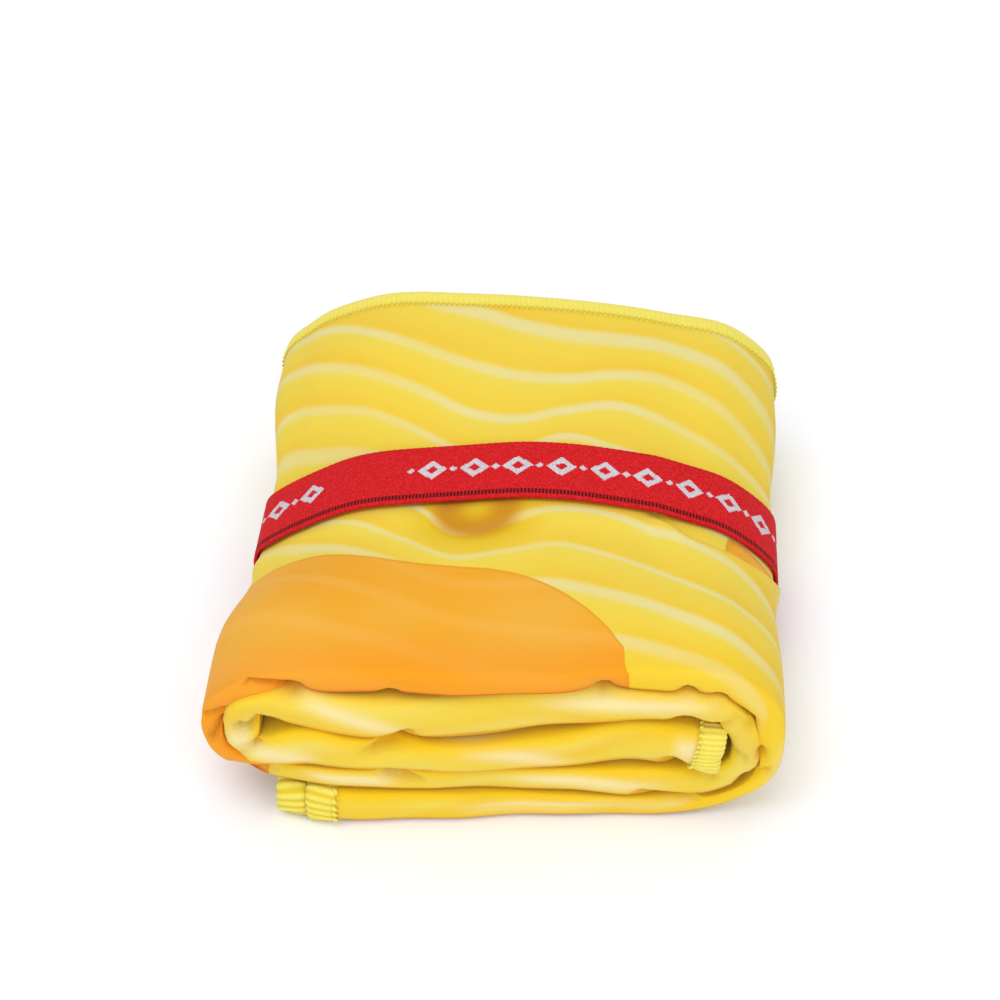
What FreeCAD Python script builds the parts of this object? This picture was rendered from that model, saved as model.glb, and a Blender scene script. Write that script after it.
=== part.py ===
import FreeCAD, Part
import math
import os
import Sketcher
from FreeCAD import Placement, Rotation, Vector

# A microfibre towel, folded lengthwise to a strip of four plies, rolled flat into five
# layers and held by a woven elastic band.  X runs across the package, Y along the roll
# (the rounded folds face -Y, the cut edges +Y) and Z up from the surface it lies on.

# ---------------------------------------------------------------- driving dimensions (mm)
SIZES = {
    "package_width": 164.0,       # X, over the outer bends in front of the band
    "package_depth": 168.0,       # Y, along the roll
    "package_height": 60.0,       # Z, five layers
    "swell": 1.5,                 # how far the free cloth stands out past the banded cloth
    "layer_gap": 0.4,             # slit between two layers
    "layer_count": 5.0,
    "outer_end": -60.0,           # X of the strip's outer cut end, on the bottom layer
    "inner_end": 52.0,            # X of the strip's inner cut end, in the middle layer
    "edging_width": 5.5,          # overlock stitches reach this far in from a cut edge
    "edging_thickness": 0.7,      # thread on each face of a cut edge
    "long_edging_depth": 1.2,     # overlock on the long edges, past the cloth
    "long_edging_thickness": 2.0,
    "long_edge_first": 0.5,       # outer ply's edging, in from the layer's outer face
    "long_edge_second": 3.4,      # second ply's edging, in from the layer's outer face
    "band_width": 25.0,
    "band_thickness": 1.2,
    "band_clearance": 0.3,
    "band_centre": 1.0,           # Y of the band's middle
    "seam_row_length": 21.0,      # stitch rows that join the band's ends
    "seam_row_width": 1.2,
    "seam_row_height": 0.4,
}
SEAM_ROW_OFFSETS = (-4.5, -1.5, 1.5, 4.5)   # along the band, from the middle of the lap

doc = FreeCAD.newDocument("rolled_towel")
sheet = doc.addObject("Spreadsheet::Sheet", "Sizes")
for row, (alias, value) in enumerate(SIZES.items(), start=1):
    sheet.set(f"A{row}", alias)
    sheet.set(f"B{row}", str(value))
    sheet.setAlias(f"B{row}", alias)
doc.recompute()


def cell(alias):
    """The expression that reads one driving dimension."""
    return f"Sizes.{alias}"


# ------------------------------------------------- expressions worked out from the sheet
PITCH = "((Sizes.package_height - 2 * Sizes.swell + Sizes.layer_gap) / Sizes.layer_count)"
LAYER = f"({PITCH} - Sizes.layer_gap)"
FLOOR = cell("swell")
CLOTH_DEPTH = "(Sizes.package_depth - Sizes.long_edging_depth)"
FRONT = "(-Sizes.package_depth / 2)"
BACK_OF_CLOTH = f"({FRONT} + {CLOTH_DEPTH})"

# outer radii and centres of the four bends, from the outermost wrap inwards
RIGHT_OUTER = "((Sizes.package_height - 2 * Sizes.swell) / 2)"
LEFT_OUTER = f"({RIGHT_OUTER} - {PITCH} / 2)"
RIGHT_INNER = f"({RIGHT_OUTER} - {PITCH})"
LEFT_INNER = f"({LEFT_OUTER} - {PITCH})"
RIGHT_X = f"(Sizes.package_width / 2 - Sizes.swell - {RIGHT_OUTER})"
RIGHT_Z = "(Sizes.package_height / 2)"
LEFT_X = f"(-Sizes.package_width / 2 + Sizes.swell + {LEFT_OUTER})"
LEFT_Z = f"({RIGHT_Z} + {PITCH} / 2)"

# a cylinder laid along +Y whose half turn opens to the right or to the left
LAID_ALONG_Y = Rotation(Vector(1, 0, 0), -90)
RIGHT_HALF = LAID_ALONG_Y * Rotation(Vector(0, 0, 1), -90)
LEFT_HALF = LAID_ALONG_Y * Rotation(Vector(0, 0, 1), 90)
HALF_TURN = 180


def bind(obj, **expressions):
    """Bind properties of obj; base_x, base_y and base_z are its position."""
    paths = {"base_x": "Placement.Base.x", "base_y": "Placement.Base.y", "base_z": "Placement.Base.z"}
    for name, expression in expressions.items():
        obj.setExpression(paths.get(name, name), expression)
    return obj


def box(name, x_low, x_high, z_low, thick, y_low, depth):
    """A flat run of one layer."""
    block = doc.addObject("Part::Box", name)
    return bind(block, Length=f"{x_high} - {x_low}", Width=depth, Height=thick,
                base_x=x_low, base_y=y_low, base_z=z_low)


def half_cylinder(name, turn, x, z, radius, y_low, depth):
    """Half a round bar along Y."""
    bar = doc.addObject("Part::Cylinder", name)
    bar.Angle = HALF_TURN
    bar.Placement = Placement(Vector(0, 0, 0), turn)
    return bind(bar, Radius=radius, Height=depth, base_x=x, base_y=y_low, base_z=z)


def bend(name, turn, x, z, radius, thick, y_low, depth):
    """Half a tube along Y: the cloth going round an end of the package."""
    ring = doc.addObject("Part::Cut", name)
    ring.Base = half_cylinder(name + "_outside", turn, x, z, radius, y_low, depth)
    ring.Tool = half_cylinder(name + "_inside", turn, x, z, f"{radius} - {thick}", y_low, depth)
    return ring


def fuse(name, pieces, label=None):
    joined = doc.addObject("Part::MultiFuse", name)
    joined.Shapes = pieces
    joined.Refine = True
    joined.Label = label or name
    return joined


def flat_spiral(name, depth_in, thick, y_low, depth, outer_end, inner_end):
    """The strip's route, at depth_in from its outer face: bottom layer, right bend, top
    layer, left bend, fourth layer, right bend, second layer, left bend, middle layer."""
    def up_from_floor(layers):
        return f"{FLOOR} + {layers} * {PITCH} + {depth_in}"

    def down_from_top(layers):
        return f"{cell('package_height')} - {FLOOR} - {layers} * {PITCH} - {depth_in} - {thick}"

    runs = (
        ("bottom", outer_end, RIGHT_X, up_from_floor(0)),
        ("top", LEFT_X, RIGHT_X, down_from_top(0)),
        ("fourth", LEFT_X, RIGHT_X, up_from_floor(1)),
        ("second", LEFT_X, RIGHT_X, down_from_top(1)),
        ("middle", LEFT_X, inner_end, up_from_floor(2)),
    )
    bends = (
        ("right_outer", RIGHT_HALF, RIGHT_X, RIGHT_Z, RIGHT_OUTER),
        ("left_outer", LEFT_HALF, LEFT_X, LEFT_Z, LEFT_OUTER),
        ("right_inner", RIGHT_HALF, RIGHT_X, RIGHT_Z, RIGHT_INNER),
        ("left_inner", LEFT_HALF, LEFT_X, LEFT_Z, LEFT_INNER),
    )
    pieces = []
    for run, x_low, x_high, z_low in runs:
        pieces.append(box(f"{name}_{run}", x_low, x_high, z_low, thick, y_low, depth))
    for where, turn, x, z, radius in bends:
        reach = f"{radius} - {depth_in}"
        pieces.append(bend(f"{name}_{where}", turn, x, z, reach, thick, y_low, depth))
    return pieces


def swollen_skin():
    """In front of the band the cloth stands out by swell: an extra skin on the outermost wrap."""
    depth = "(Sizes.package_depth / 2 + Sizes.band_centre - Sizes.band_width / 2 - Sizes.band_clearance)"
    under = box("skin_bottom", cell("outer_end"), RIGHT_X, "0", FLOOR, FRONT, depth)
    over = box("skin_top", LEFT_X, RIGHT_X, "Sizes.package_height - Sizes.swell", FLOOR, FRONT, depth)
    right = bend("skin_right", RIGHT_HALF, RIGHT_X, RIGHT_Z, f"{RIGHT_OUTER} + {FLOOR}",
                 cell("swell"), FRONT, depth)
    left = bend("skin_left", LEFT_HALF, LEFT_X, LEFT_Z, f"{LEFT_OUTER} + {FLOOR}",
                cell("swell"), FRONT, depth)
    # the left skin stops above the strip's outer end, which lies under that bend
    below = box("skin_left_trim", "-Sizes.package_width", "Sizes.outer_end + Sizes.package_width",
                "0", f"{FLOOR} + {PITCH} + Sizes.swell", FRONT, depth)
    trimmed = doc.addObject("Part::Cut", "skin_left_trimmed")
    trimmed.Base = left
    trimmed.Tool = below
    return [under, over, right, trimmed]


def make_towel():
    """The cloth as one closed spiral; its two short ends are thinned for their edging."""
    core_thick = f"({LAYER} - 2 * Sizes.edging_thickness)"
    bottom_start = "(Sizes.outer_end + Sizes.edging_width)"
    middle_stop = "(Sizes.inner_end - Sizes.edging_width)"
    pieces = flat_spiral("cloth", "0", LAYER, FRONT, CLOTH_DEPTH, bottom_start, middle_stop)
    pieces.append(box("cloth_outer_core", f"(Sizes.outer_end + Sizes.edging_thickness)", bottom_start,
                      f"{FLOOR} + Sizes.edging_thickness", core_thick, FRONT, CLOTH_DEPTH))
    pieces.append(box("cloth_inner_core", middle_stop, "(Sizes.inner_end - Sizes.edging_thickness)",
                      f"{FLOOR} + 2 * {PITCH} + Sizes.edging_thickness", core_thick, FRONT, CLOTH_DEPTH))
    return fuse("rolled_towel", pieces + swollen_skin())


def make_end_edging(name, x_low, x_high, core_low, core_high, z_low):
    """Overlock thread wrapped round a short cut end: a channel closed at the end."""
    wrap = box(name + "_outside", x_low, x_high, z_low, LAYER, FRONT, CLOTH_DEPTH)
    core = box(name + "_core", core_low, core_high, f"{z_low} + Sizes.edging_thickness",
               f"{LAYER} - 2 * Sizes.edging_thickness", FRONT, CLOTH_DEPTH)
    channel = doc.addObject("Part::Cut", name)
    channel.Base = wrap
    channel.Tool = core
    channel.Label = name
    return channel


def make_long_edging(name, depth_in):
    """Overlock along a long edge of the sheet, which follows the whole spiral at the back."""
    pieces = flat_spiral(name, cell(depth_in), cell("long_edging_thickness"), BACK_OF_CLOTH,
                         cell("long_edging_depth"), cell("outer_end"), cell("inner_end"))
    return fuse(name, pieces)


def tangent_angle(first, first_radius, second, second_radius):
    """Direction of the outward normal of the line that touches both circles on their left."""
    span = second - first
    opening = math.acos((first_radius - second_radius) / span.Length)
    return math.atan2(span.y, span.x) - opening


def band_circles():
    """Centres and radii of the banded cloth's outline: right bend, left bend, hem corner."""
    value = {name: float(sheet.get(name)) for name in SIZES}
    right_radius = value["package_height"] / 2 - value["swell"]
    pitch = (2 * right_radius + value["layer_gap"]) / value["layer_count"]
    left_radius = right_radius - pitch / 2
    half_width = value["package_width"] / 2 - value["swell"]
    middle = value["package_height"] / 2
    right = Vector(half_width - right_radius, middle, 0)
    left = Vector(left_radius - half_width, middle + pitch / 2, 0)
    corner = Vector(value["outer_end"], value["swell"], 0)
    return (right, right_radius), (left, left_radius), (corner, 0.0)


def draw_loop(sketch, tag, offset_value, offset):
    """One closed outline round the banded cloth: three arcs and the lines that touch them."""
    (right, right_radius), (left, left_radius), (corner, corner_radius) = band_circles()
    slant = tangent_angle(left, left_radius, corner, corner_radius)
    quarter = math.pi / 2
    arcs = (
        ("right", right, right_radius, -quarter, quarter, RIGHT_X, RIGHT_Z, RIGHT_OUTER),
        ("left", left, left_radius, quarter, slant + 2 * math.pi, LEFT_X, LEFT_Z, LEFT_OUTER),
        ("corner", corner, corner_radius, slant, -quarter, cell("outer_end"), cell("swell"), "0"),
    )
    arc_ids = []
    ends = []
    for where, centre, radius, start, stop, _, _, _ in arcs:
        circle = Part.Circle(centre, Vector(0, 0, 1), radius + offset_value)
        arc_ids.append(sketch.addGeometry(Part.ArcOfCircle(circle, start, stop)))
        reach = radius + offset_value
        ends.append([centre + Vector(math.cos(a), math.sin(a), 0) * reach for a in (start, stop)])
    start_point, end_point, centre_point = 1, 2, 3
    for index in range(3):
        after = (index + 1) % 3
        line = sketch.addGeometry(Part.LineSegment(ends[index][1], ends[after][0]))
        sketch.addConstraint(Sketcher.Constraint("Tangent", arc_ids[index], end_point, line, start_point))
        sketch.addConstraint(Sketcher.Constraint("Tangent", line, end_point, arc_ids[after], start_point))
    for arc, (where, centre, radius, _, _, x, z, outline) in zip(arc_ids, arcs):
        settings = (
            ("x", Sketcher.Constraint("DistanceX", -1, 1, arc, centre_point, centre.x), x),
            ("z", Sketcher.Constraint("DistanceY", -1, 1, arc, centre_point, centre.y), z),
            ("radius", Sketcher.Constraint("Radius", arc, radius + offset_value), f"{outline} + {offset}"),
        )
        for what, constraint, expression in settings:
            index = sketch.addConstraint(constraint)
            label = f"{tag}_{where}_{what}"
            sketch.renameConstraint(index, label)
            sketch.setExpression(f"Constraints.{label}", expression)


def origin_plane(body, role):
    return next(item for item in body.Origin.OriginFeatures if item.Role == role)


def make_band():
    """The woven elastic loop: a ring of even thickness, padded to the band's width."""
    body = doc.addObject("PartDesign::Body", "elastic_band")
    sketch = body.newObject("Sketcher::SketchObject", "band_outline")
    sketch.AttachmentSupport = (origin_plane(body, "XZ_Plane"), "")
    sketch.MapMode = "FlatFace"
    clearance = SIZES["band_clearance"]
    draw_loop(sketch, "inside", clearance, cell("band_clearance"))
    draw_loop(sketch, "outside", clearance + SIZES["band_thickness"],
              "Sizes.band_clearance + Sizes.band_thickness")
    doc.recompute()
    pad = body.newObject("PartDesign::Pad", "band_pad")
    pad.Profile = sketch
    pad.Midplane = True
    pad.setExpression("Length", cell("band_width"))
    body.setExpression("Placement.Base.y", cell("band_centre"))
    return body


def make_band_seam():
    """Four stitch rows across the band, on the slanted stretch beside the strip's outer end."""
    _, (left, left_radius), (corner, corner_radius) = band_circles()
    slant = tangent_angle(left, left_radius, corner, corner_radius)
    normal = Vector(math.cos(slant), math.sin(slant), 0)
    reach = SIZES["band_clearance"] + SIZES["band_thickness"]
    upper = left + normal * (left_radius + reach)
    lower = corner + normal * (corner_radius + reach)
    middle = (upper + lower) * 0.5
    along = (lower - upper).normalize()
    turn = Rotation(Vector(0, 1, 0), -math.degrees(slant))
    rows = []
    for index, offset in enumerate(SEAM_ROW_OFFSETS, start=1):
        row = doc.addObject("Part::Box", f"seam_row_{index}")
        bind(row, Length=cell("seam_row_height"), Width=cell("seam_row_length"), Height=cell("seam_row_width"))
        spot = middle + along * offset
        half_row = turn.multVec(Vector(0, 0, SIZES["seam_row_width"] / 2))
        y_low = SIZES["band_centre"] - SIZES["seam_row_length"] / 2
        row.Placement = Placement(Vector(spot.x, y_low, spot.y) - half_row, turn)
        rows.append(row)
    seam = doc.addObject("Part::Compound", "band_seam_stitching")
    seam.Links = rows
    seam.Label = "band_seam_stitching"
    return seam


def make_parts():
    middle_floor = f"{FLOOR} + 2 * {PITCH}"
    outer_edging = make_end_edging(
        "outer_end_edging", cell("outer_end"), "(Sizes.outer_end + Sizes.edging_width)",
        "(Sizes.outer_end + Sizes.edging_thickness)", "(Sizes.outer_end + Sizes.edging_width)", FLOOR)
    inner_edging = make_end_edging(
        "inner_end_edging", "(Sizes.inner_end - Sizes.edging_width)", cell("inner_end"),
        "(Sizes.inner_end - Sizes.edging_width)", "(Sizes.inner_end - Sizes.edging_thickness)", middle_floor)
    return [
        make_towel(),
        outer_edging,
        inner_edging,
        make_long_edging("first_long_edging", "long_edge_first"),
        make_long_edging("second_long_edging", "long_edge_second"),
        make_band(),
        make_band_seam(),
    ]


def check_and_export(parts):
    """Stop on any failed object, then write one STEP file for each sub-part."""
    doc.recompute()
    for obj in doc.Objects:
        if "Invalid" in obj.State or "Error" in obj.State:
            raise RuntimeError(f"{obj.Label} did not recompute: {obj.State}")
    for part in parts:
        if part.Shape.isNull() or not part.Shape.isValid():
            raise RuntimeError(f"{part.Label} has no valid shape")
    os.makedirs("parts", exist_ok=True)
    for part in parts:
        part.Shape.exportStep(f"parts/{part.Label}.step")
        size = part.Shape.BoundBox
        print(f"{part.Label}: {len(part.Shape.Solids)} solid(s), {part.Shape.Volume:.0f} mm3, "
              f"X {size.XMin:.2f}..{size.XMax:.2f} Y {size.YMin:.2f}..{size.YMax:.2f} "
              f"Z {size.ZMin:.2f}..{size.ZMax:.2f}")


check_and_export(make_parts())
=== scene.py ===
import math

import bpy
import mathutils.geometry
import numpy as np
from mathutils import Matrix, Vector


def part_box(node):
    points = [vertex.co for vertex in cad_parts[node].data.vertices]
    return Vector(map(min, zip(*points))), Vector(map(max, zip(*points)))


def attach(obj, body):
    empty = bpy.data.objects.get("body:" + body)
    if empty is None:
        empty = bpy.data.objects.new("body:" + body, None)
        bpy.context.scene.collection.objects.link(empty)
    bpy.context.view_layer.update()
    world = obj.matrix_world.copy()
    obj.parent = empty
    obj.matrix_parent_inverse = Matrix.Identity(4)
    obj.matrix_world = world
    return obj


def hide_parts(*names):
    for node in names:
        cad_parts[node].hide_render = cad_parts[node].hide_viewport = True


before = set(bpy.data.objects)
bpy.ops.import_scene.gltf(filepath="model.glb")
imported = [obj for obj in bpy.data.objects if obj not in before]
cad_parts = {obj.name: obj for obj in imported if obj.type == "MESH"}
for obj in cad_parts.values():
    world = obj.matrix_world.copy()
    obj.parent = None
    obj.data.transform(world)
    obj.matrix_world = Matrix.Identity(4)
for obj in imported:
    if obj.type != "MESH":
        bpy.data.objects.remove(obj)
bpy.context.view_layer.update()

# A printed microfibre towel, folded to four plies, rolled flat and held by a woven band.
# Shape points below are in millimetres in the part's frame; meshes are written in metres.
MM = 0.001

FRONT_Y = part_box("rolled_towel")[0][1] / MM
BACK_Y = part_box("first_long_edging")[1][1] / MM
band_front, band_back = (corner[1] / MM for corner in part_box("elastic_band"))
BAND_Y = (band_front + band_back) / 2
BAND_WIDTH = band_back - band_front
TURN = 2 * math.pi
CORE = np.array([0.0, 29.0])  # the middle of the cross-section, X and Z
RESTING = 0.05              # lowest Z of anything that lies on the floor
HEM_LIFT = 1.5              # the overlock under the cloth holds it this far up
BAND_LIFT = 1.6             # and the band this far

CLOTH = 0.6                 # cloth thickness
NESTED_PLY = 1.5            # from the outer fold to the fold nested in it
END_STEP = 8.6              # the nested fold's end stands out past the outer fold's end

# ---- shape points
# The strip's middle line, from its outer end to its inner end, seen on the folded side:
# X, Z, thickness of the four plies, and how far the fold stands out past the CAD front.
ROUTE = [
    (-60.2, 6.6, 12.4, 7.5), (-51.0, 6.6, 12.8, 8.5), (-38.0, 6.3, 12.4, 7.6), (-15.0, 5.7, 11.2, 5.0),
    (20.0, 4.9, 9.6, 0.5), (48.0, 4.2, 7.4, -3.0),
    (66.0, 6.3, 4.6, -4.0), (77.1, 16.2, 5.4, -4.0), (77.8, 32.0, 8.3, -4.0), (74.8, 44.2, 9.0, -4.5),
    (65.0, 51.8, 9.6, -4.0),
    (45.0, 54.6, 9.0, -3.0), (15.0, 55.2, 8.4, -0.6), (-20.0, 54.8, 9.0, 2.2), (-50.0, 53.2, 9.0, 3.5),
    (-67.4, 48.2, 8.0, 2.5), (-77.0, 39.0, 7.4, 2.0), (-79.0, 30.0, 6.6, 1.5), (-76.2, 20.6, 6.6, 1.0),
    (-66.5, 16.2, 7.2, 1.5),
    (-50.0, 17.2, 7.4, 3.6), (-15.0, 16.0, 8.8, 2.6), (20.0, 15.2, 9.6, 0.5), (44.0, 14.4, 12.0, -0.5),
    (60.0, 14.0, 11.0, -2.0), (70.2, 20.6, 9.4, -4.0), (69.6, 34.6, 8.6, -4.0), (63.6, 42.8, 9.0, -4.0),
    (46.0, 45.0, 10.6, -3.0), (15.0, 42.6, 16.4, -0.5), (-20.0, 40.2, 16.8, 4.0), (-44.0, 42.3, 15.0, 6.5),
    (-53.0, 43.8, 12.8, 5.6), (-61.2, 45.0, 8.4, 5.0), (-68.0, 41.0, 9.6, 4.2), (-69.7, 33.8, 11.0, 3.4),
    (-67.4, 25.6, 8.4, 3.4), (-60.0, 27.2, 12.8, 4.4), (-52.0, 29.0, 15.2, 5.0),
    (-42.0, 28.0, 13.4, 5.8), (-15.0, 25.9, 11.2, 5.0), (20.0, 27.2, 13.6, 1.0), (42.0, 30.0, 16.6, -1.0),
    (64.6, 27.6, 16.6, -1.5),
]

# The outline of the package, X and Z, at the folded front, under the band and at the back.
OUTLINES = [
    ((-82.0, 30.0), (-76.8, 23.0), (-81.7, 31.0)),
    ((-80.5, 40.0), (-76.4, 28.0), (-79.6, 38.4)),
    ((-76.0, 48.0), (-73.5, 32.0), (-75.5, 44.5)),
    ((-66.0, 54.0), (-66.0, 37.0), (-66.0, 51.5)),
    ((-50.0, 57.3), (-50.0, 45.2), (-50.0, 57.0)),
    ((-35.0, 58.6), (-35.0, 49.7), (-35.0, 59.2)),
    ((-13.5, 59.2), (-13.5, 53.8), (-13.5, 60.0)),
    ((8.0, 59.3), (8.0, 56.0), (8.0, 59.2)),
    ((26.0, 59.2), (26.0, 55.2), (26.0, 58.0)),
    ((41.5, 59.0), (41.5, 52.8), (41.5, 56.4)),
    ((57.0, 57.0), (57.0, 46.6), (57.0, 52.7)),
    ((68.0, 52.5), (68.0, 39.5), (68.0, 47.5)),
    ((75.5, 47.0), (75.5, 33.5), (76.5, 41.0)),
    ((80.5, 39.0), (79.6, 29.0), (81.5, 34.5)),
    ((82.0, 30.0), (80.3, 24.5), (83.0, 28.5)),
    ((80.0, 19.0), (78.5, 17.5), (80.0, 18.5)),
    ((72.0, 8.5), (72.0, 10.0), (72.0, 9.0)),
    ((60.0, 2.0), (60.0, 4.6), (60.0, 2.5)),
    ((40.0, 0.0), (40.0, 1.8), (40.0, 0.5)),
    ((0.0, 0.0), (0.0, 1.6), (0.0, 0.4)),
    ((-40.0, 0.0), (-40.0, 1.8), (-40.0, 0.5)),
    ((-58.0, 0.5), (-57.0, 3.4), (-58.0, 1.0)),
    ((-70.0, 10.0), (-68.0, 11.0), (-70.0, 10.5)),
    ((-78.5, 19.0), (-75.0, 17.0), (-78.0, 20.0)),
]


# ---- small helpers
def smooth(low, high, value):
    """0 at low, 1 at high, an even S between them."""
    part = np.clip((value - low) / (high - low), 0.0, 1.0)
    return part * part * (3.0 - 2.0 * part)


def bell(value, centre, width):
    return np.exp(-(((value - centre) / width) ** 2))


def hermite(stations, values, at):
    """A smooth curve through values at increasing stations, read at the places in at."""
    values = np.asarray(values, float)
    slopes = np.gradient(values, stations, axis=0)
    index = np.clip(np.searchsorted(stations, at, side="right") - 1, 0, len(stations) - 2)
    span = (stations[index + 1] - stations[index])
    part = (at - stations[index]) / span
    if values.ndim > 1:
        part, span = part[..., None], span[..., None]
    p0, p1 = values[index], values[index + 1]
    m0, m1 = slopes[index] * span, slopes[index + 1] * span
    return ((2 * part**3 - 3 * part**2 + 1) * p0 + (part**3 - 2 * part**2 + part) * m0
            + (3 * part**2 - 2 * part**3) * p1 + (part**3 - part**2) * m1)


def unit(vectors):
    return vectors / np.maximum(np.linalg.norm(vectors, axis=-1, keepdims=True), 1e-9)


def line_distances(line):
    """Distance of each point of a line from its start, along it."""
    return np.concatenate([[0.0], np.cumsum(np.linalg.norm(np.diff(line, axis=0), axis=1))])


def rest_on(heights, level, softness):
    """Heights pressed up to a level from below; they stay in order, so no two plies meet."""
    return level + softness * np.logaddexp(0.0, (heights - level) / softness)


def grid_faces(rows, columns, close_columns=False):
    """Quads over a rows x columns grid of points numbered row by row."""
    numbers = np.arange(rows * columns).reshape(rows, columns)
    if close_columns:
        numbers = np.hstack([numbers, numbers[:, :1]])
    quads = np.stack([numbers[:-1, :-1], numbers[:-1, 1:], numbers[1:, 1:], numbers[1:, :-1]], axis=-1)
    return quads.reshape(-1, 4)


def tube_faces(points, first=0):
    """Faces of a closed tube of points, rings x sides, numbered from first, all facing out."""
    rings, sides = points.shape[:2]
    faces = (grid_faces(rings, sides, close_columns=True) + first).tolist()
    start = list(range(first, first + sides))
    end = [number + (rings - 1) * sides for number in start]
    faces += [start[::-1], end]
    centre = points.mean(axis=1)
    spokes = points - centre[:, None]
    ring_area = np.cross(spokes, np.roll(spokes, -1, axis=1)).sum(axis=1)
    if (ring_area * np.gradient(centre, axis=0)).sum() < 0:
        faces = [face[::-1] for face in faces]
    return faces


def make_object(name, points, faces, smooth_shading=True):
    """A mesh object from points in millimetres; faces is a list of vertex lists."""
    mesh = bpy.data.meshes.new(name)
    metres = np.asarray(points).reshape(-1, 3) * MM
    mesh.from_pydata(metres.tolist(), [], [list(map(int, face)) for face in faces])
    mesh.validate()
    mesh.update()
    if smooth_shading:
        mesh.polygons.foreach_set("use_smooth", [True] * len(mesh.polygons))
    obj = bpy.data.objects.new(name, mesh)
    bpy.context.scene.collection.objects.link(obj)
    return obj


def finish_piece(obj, material, body, node):
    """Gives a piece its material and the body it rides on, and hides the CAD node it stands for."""
    obj.data.materials.append(material)
    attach(obj, body)
    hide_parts(node)


def mesh_points(obj):
    """An object's vertices in millimetres."""
    coordinates = np.empty(3 * len(obj.data.vertices), np.float32)
    obj.data.vertices.foreach_get("co", coordinates)
    return coordinates.reshape(-1, 3) / MM


def add_attribute(obj, name, values):
    layer = obj.data.attributes.new(name, "FLOAT", "POINT")
    layer.data.foreach_set("value", np.asarray(values, np.float32).ravel())


# ---- the strip's route
route = np.array(ROUTE)
stations = line_distances(route[:, :2])
ROUTE_LENGTH = stations[-1]
TOP_LAYER = slice(11, 15)   # the route's rows on top of the package
# Distances along the strip: where the bottom layer ends, the bend at the right, the left side
# and the bend after it, and where the second layer has begun under the top one.
BOTTOM_END, RIGHT_BEND, RIGHT_SIDE = stations[4:7]
LEFT_SIDE, INNER_BEND, SECOND_LAYER = stations[18:21]


def strip_at(along):
    """Middle line, outward normal, thickness and fold reach at distances along the strip."""
    step = 0.5
    here = hermite(stations, route, along)
    ahead = hermite(stations, route[:, :2], np.minimum(along + step, ROUTE_LENGTH))
    behind = hermite(stations, route[:, :2], np.maximum(along - step, 0.0))
    direction = unit(ahead - behind)
    normal = np.stack([direction[..., 1], -direction[..., 0]], axis=-1)
    return here[..., :2], normal, here[..., 2], here[..., 3]


# ---- squeeze of the band, crown of the back
OVERLAP = 3                 # outline points repeated past its ends, to close the curve
SQUEEZE_REACH = 62.0        # how far from the band's middle its squeeze is felt


def outline_pulls():
    """By angle round the core: how the band's and the back's outline differ from the front's."""
    outline = np.array(OUTLINES) - CORE
    angle = np.unwrap(np.arctan2(outline[:, 0, 1], outline[:, 0, 0])[::-1])[::-1]
    order = np.argsort(angle)
    angle, outline = angle[order], outline[order]
    angle = np.concatenate([angle[-OVERLAP:] - TURN, angle, angle[:OVERLAP] + TURN])
    ring = np.concatenate([outline[-OVERLAP:], outline, outline[:OVERLAP]])
    reach = np.linalg.norm(ring[:, 0], axis=-1)[:, None]
    return angle, (ring[:, 1] - ring[:, 0]) / reach, (ring[:, 2] - ring[:, 0]) / reach


around, band_pull, back_pull = outline_pulls()


def section_weights(y):
    """How much the band's and the back's outline count at each y."""
    half = BAND_WIDTH / 2 + 1.5
    in_front = smooth(BAND_Y - SQUEEZE_REACH, BAND_Y - half, y)
    behind = 1.0 - smooth(BAND_Y + half, BAND_Y + SQUEEZE_REACH, y)
    under_band = np.where(y < BAND_Y, in_front, behind)
    at_back = np.where(y < BAND_Y, 0.0, 1.0 - behind)
    return under_band, at_back


def reshape_section(x, z, y):
    """Moves points of the front cross-section to where the package has them at y."""
    from_core = np.stack([x, z], axis=-1) - CORE
    angle = np.arctan2(from_core[..., 1], from_core[..., 0])
    low = around[OVERLAP]
    angle = low + np.mod(angle - low, TURN)
    under_band, at_back = section_weights(y)
    pull = (under_band[..., None] * hermite(around, band_pull, angle)
            + at_back[..., None] * hermite(around, back_pull, angle))
    moved = from_core + pull * np.linalg.norm(from_core, axis=-1, keepdims=True)
    return moved[..., 0] + CORE[0], moved[..., 1] + CORE[1]


# ---- the folded sheet
# The pleat in front of the band on the right: where the front cloth's crest lies.
PLEAT = [(36.0, -11.5), (42.0, -13.0), (47.0, -17.5), (53.0, -21.5), (60.0, -23.5), (70.0, -23.5),
         (78.0, -20.2), (86.0, -15.8), (100.0, -13.0)]
PLEAT_HEIGHT = 3.4
CREST_PLACE = 0.40          # the row of the outer ply that the pleat's crest follows
COLUMN_STEP = 1.8           # from one column of the sheet's points to the next, along the strip
FOLD_ROUND = 0.6            # how far a lip rounds off, as a share of its half thickness
FULLNESS = 0.5              # below 1 the folded lips are fuller than a half round


def across_top(along):
    """Distance along the strip from the middle of the top, growing to the right."""
    middle = np.interp(0.0, route[TOP_LAYER, 0][::-1], stations[TOP_LAYER][::-1])
    return middle - along


def pleat_line(across):
    places, crest = np.array(PLEAT).T
    return hermite(places, crest, np.clip(across, places[0], places[-1]))


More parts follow.
